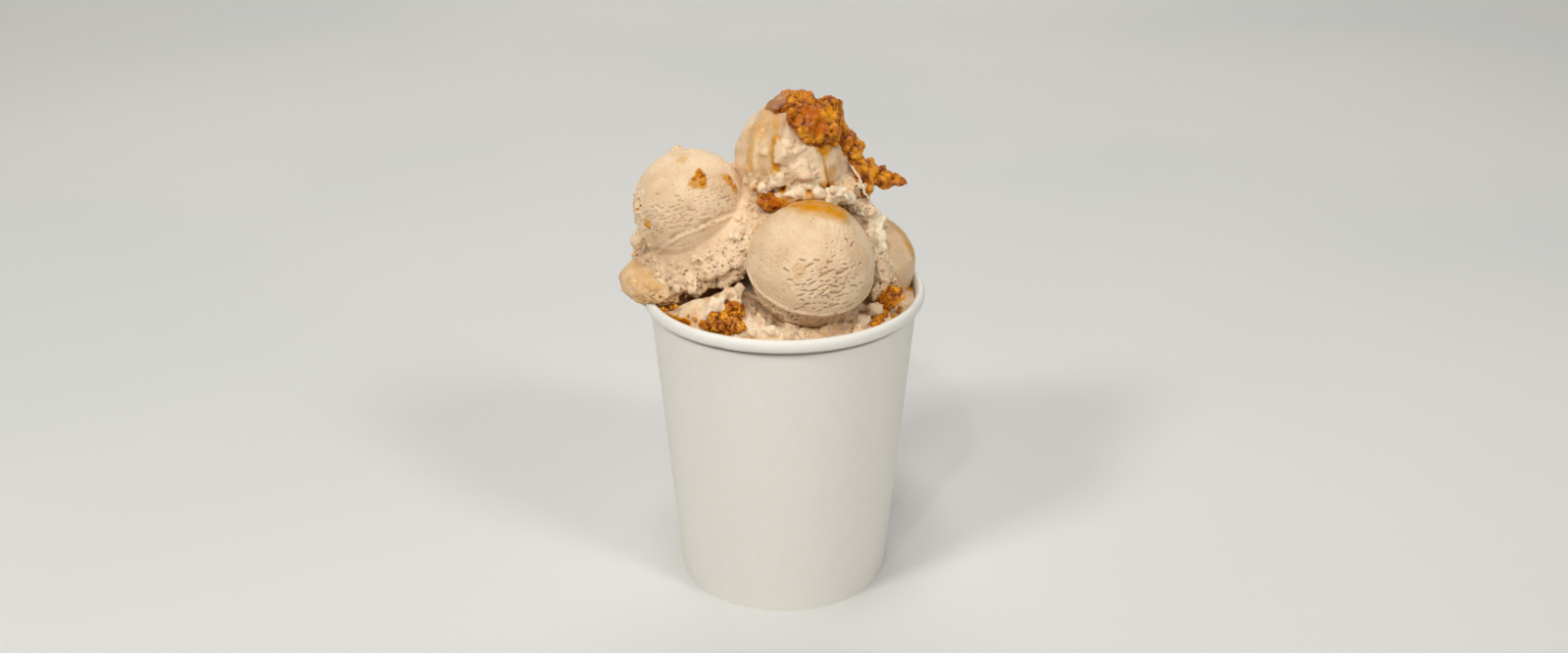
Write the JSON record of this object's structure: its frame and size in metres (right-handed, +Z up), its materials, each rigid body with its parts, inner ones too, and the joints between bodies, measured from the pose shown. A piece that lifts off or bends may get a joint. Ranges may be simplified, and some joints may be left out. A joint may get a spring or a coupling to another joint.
{
  "type": "gelato cup",
  "caption": "Tall tapered white paper cup with a rolled rim, filled with gelato and heaped with round scoops, honey and broken honeycomb toffee.",
  "frame": {"origin": "middle of the footprint of the whole (cup and the gelato that hangs over its rim), on the table", "axes": "+Z up; -Y is the side that the picture shows; the cup's axis stands 4.4 mm to +X of the origin"},
  "size_m": [0.1256, 0.117, 0.2135],
  "materials": {
    "paperboard": "uncoated white paperboard with a faint sheen",
    "gelato": "soft moist cream, pitted and torn",
    "honeycomb_toffee": "porous amber toffee coated with honey"
  },
  "bodies": {
    "root": {"paper_cup": "paperboard", "gelato_bed": "gelato", "front_scoop": "gelato", "left_scoop": "gelato", "top_scoop": "gelato", "right_scoop": "gelato", "rear_scoop": "gelato", "low_scoop": "gelato", "toffee_crown": "honeycomb_toffee", "toffee_crown_left": "honeycomb_toffee", "toffee_knob": "honeycomb_toffee", "toffee_shard": "honeycomb_toffee", "toffee_strip": "honeycomb_toffee", "toffee_crevice": "honeycomb_toffee", "toffee_front": "honeycomb_toffee", "toffee_front_back": "honeycomb_toffee", "toffee_right": "honeycomb_toffee"}
  },
  "joints": []
}
